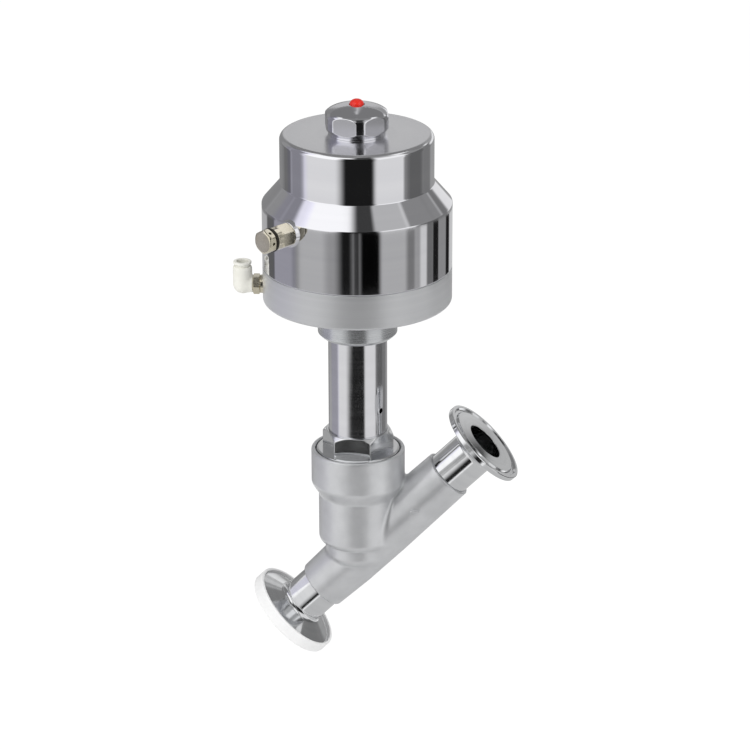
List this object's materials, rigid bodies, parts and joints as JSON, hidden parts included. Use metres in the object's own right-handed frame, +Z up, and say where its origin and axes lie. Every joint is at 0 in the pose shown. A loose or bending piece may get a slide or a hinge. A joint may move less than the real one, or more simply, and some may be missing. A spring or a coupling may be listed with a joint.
{
  "type": "angle seat valve",
  "caption": "Pneumatic angle seat valve: piston actuator on a long neck over an inclined cast body with clamp ferrule ends, air elbow, silencer and position indicator.",
  "frame": {"origin": "centre of the outlet ferrule's face, where the pipe joins", "axes": "+Z up along the stem towards the indicator, +X in the plane of stem and pipe towards the outlet side, pipe axis at 45 degrees between +X and +Z"},
  "size_m": [0.1532, 0.1089, 0.3178],
  "materials": {
    "cast_steel": "fine blasted stainless casting",
    "polished_steel": "polished stainless",
    "mirror_steel": "mirror polished stainless",
    "satin_steel": "fine turned satin stainless",
    "turned_steel": "turned stainless",
    "spring_steel": "drawn spring steel",
    "bronze": "plain bronze",
    "nickel_brass": "nickel plated brass",
    "seal_rubber": "matt black elastomer",
    "ptfe": "white PTFE",
    "elbow_plastic": "off-white moulded plastic",
    "red_plastic": "glossy red",
    "cover_plastic": "translucent white polyethylene"
  },
  "bodies": {
    "valve": {"valve_body": "cast_steel", "outlet_ferrule": "polished_steel", "inlet_ferrule": "polished_steel", "body_gasket": "ptfe", "bonnet": "turned_steel", "neck_tube": "mirror_steel", "clamp_collar": "satin_steel", "lower_guide": "ptfe", "packing_rings": "ptfe", "packing_washers": "turned_steel", "packing_spring": "spring_steel", "gland_screw": "bronze"},
    "actuator": {"actuator_base": "satin_steel", "base_o_ring": "seal_rubber", "base_bush": "bronze", "stem_o_ring": "seal_rubber", "bush_retainer": "turned_steel", "housing": "mirror_steel", "top_cap": "polished_steel", "cap_o_ring": "seal_rubber", "elbow_nut": "nickel_brass", "silencer_base": "nickel_brass", "silencer_o_ring": "seal_rubber", "silencer_head": "nickel_brass", "silencer_filter": "bronze", "outer_spring": "spring_steel", "inner_spring": "spring_steel"},
    "stem": {"stem": "turned_steel", "plug": "turned_steel", "seat_disc": "ptfe", "clamp_washer": "turned_steel", "disc_nut": "turned_steel", "piston": "turned_steel", "piston_seal": "seal_rubber", "piston_guide_ring": "ptfe", "piston_washer": "turned_steel", "piston_nut": "turned_steel", "indicator": "red_plastic"},
    "elbow": {"elbow_body": "elbow_plastic", "elbow_o_ring": "seal_rubber", "tube_seal": "seal_rubber"},
    "collet": {"release_collet": "elbow_plastic"},
    "cover": {"inlet_cover": "cover_plastic"}
  },
  "joints": [
    {"name": "actuator_turn", "type": "hinge", "parent": "valve", "child": "actuator", "pos_m": [-0.0693, 0, 0.08], "axis": [0, 0, 1], "continuous": true},
    {"name": "stem_lift", "type": "slide", "parent": "actuator", "child": "stem", "axis": [0, 0, 1], "range_m": [0, 0.013], "stiffness_N_per_m": 12000, "springref_m": -0.03, "deforming": ["outer_spring", "inner_spring"]},
    {"name": "elbow_swivel", "type": "hinge", "parent": "actuator", "child": "elbow", "pos_m": [-0.13045, -0.00428, 0.0874], "axis": [-0.9976, -0.0698, 0], "continuous": true},
    {"name": "collet_press", "type": "slide", "parent": "elbow", "child": "collet", "axis": [0, 0, -1], "range_m": [0, 0.001], "stiffness_N_per_m": 200},
    {"name": "cover_pull", "type": "slide", "parent": "valve", "child": "cover", "axis": [-0.7071, 0, -0.7071], "range_m": [0, 0.04]}
  ]
}
